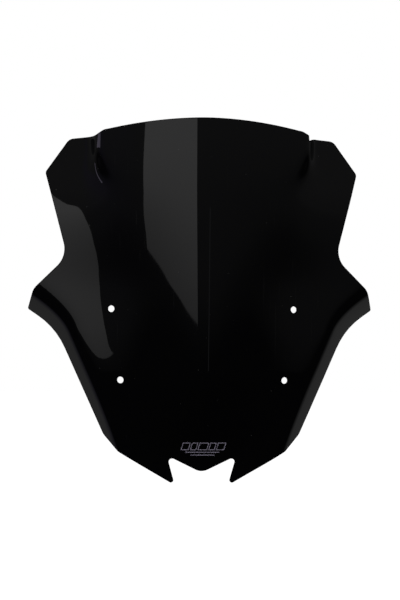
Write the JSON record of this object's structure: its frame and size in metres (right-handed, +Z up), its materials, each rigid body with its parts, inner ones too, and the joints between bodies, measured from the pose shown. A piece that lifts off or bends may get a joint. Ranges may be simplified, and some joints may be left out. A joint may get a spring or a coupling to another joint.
{
  "type": "motorcycle windshield screen",
  "caption": "Gloss black thermoformed motorcycle windshield with a raised centre bubble, swept side wings, bent-back lower edges and a notched lower edge, drilled for screws.",
  "frame": {"origin": "midway between the four screw seats on the back of the sheet", "axes": "+Z up along the straight upper part of the screen, -Y out of its front face, X across it"},
  "size_m": [0.4162, 0.0792, 0.4337],
  "materials": {
    "gloss_black_acrylic": "polished gloss black"
  },
  "bodies": {
    "root": {"screen_sheet": "gloss_black_acrylic"}
  },
  "joints": []
}
